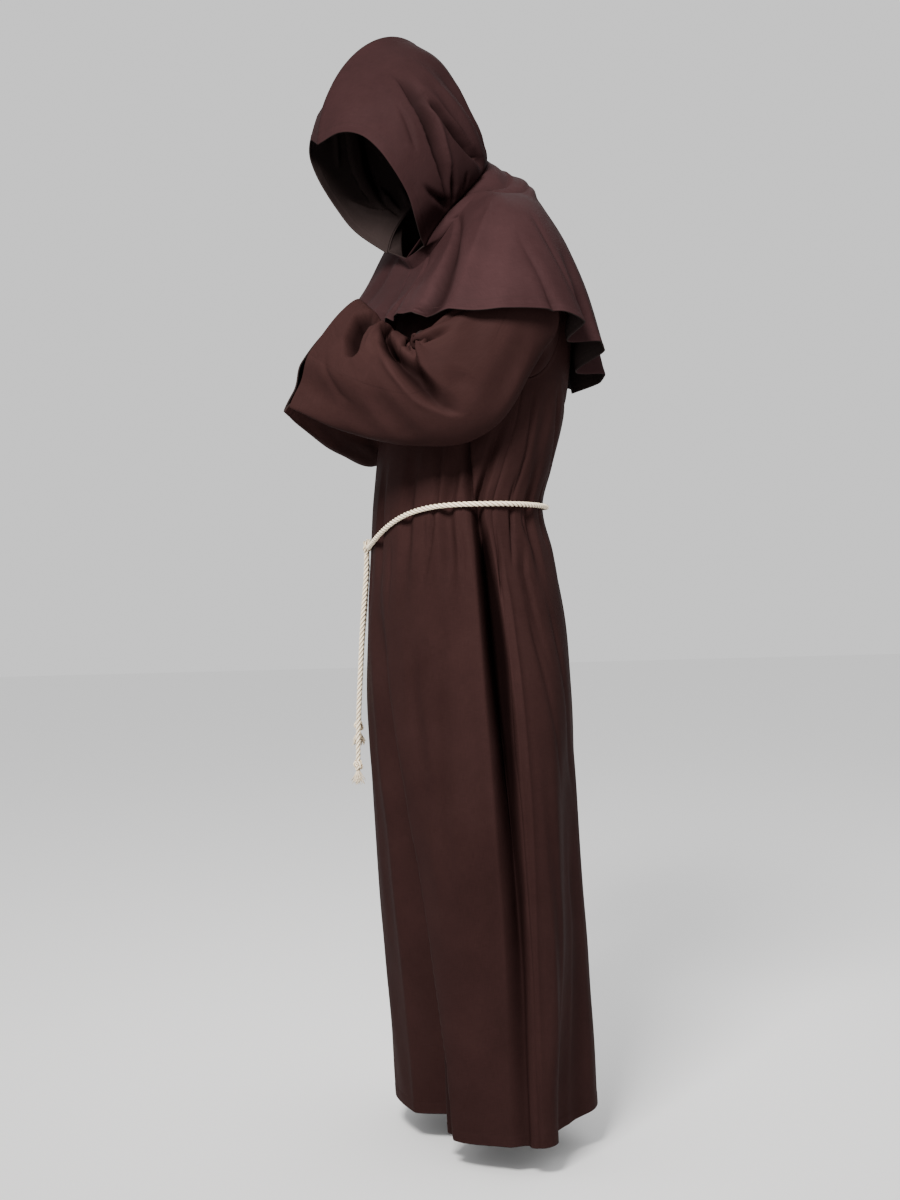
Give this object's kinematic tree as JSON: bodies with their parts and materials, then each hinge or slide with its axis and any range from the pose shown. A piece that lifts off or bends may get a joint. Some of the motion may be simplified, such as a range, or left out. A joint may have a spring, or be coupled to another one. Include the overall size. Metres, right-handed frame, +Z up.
{
  "type": "monk costume",
  "caption": "Hooded monk costume: ankle-length brown robe with wide sleeves, shoulder cape with pointed hood, and a knotted cream rope girdle, in worn form.",
  "frame": {"origin": "point between the shoulders at the base of the neck, where the wearer holds the costume", "axes": "+Z up along the body, -Y forward (the way the wearer faces), +X to the wearer's left"},
  "size_m": [0.6182, 0.4993, 1.6805],
  "materials": {
    "habit_cloth": "satin",
    "rope_cotton": "matte"
  },
  "bodies": {
    "root": {"robe_front": "habit_cloth", "robe_back": "habit_cloth", "sleeve_left": "habit_cloth", "sleeve_right": "habit_cloth", "cape_left": "habit_cloth", "cape_right": "habit_cloth", "hood_left": "habit_cloth", "hood_right": "habit_cloth", "belt_loop": "rope_cotton", "belt_knot": "rope_cotton", "rope_end_left": "rope_cotton", "rope_end_right": "rope_cotton", "tassel_left": "rope_cotton", "tassel_right": "rope_cotton"}
  },
  "joints": []
}
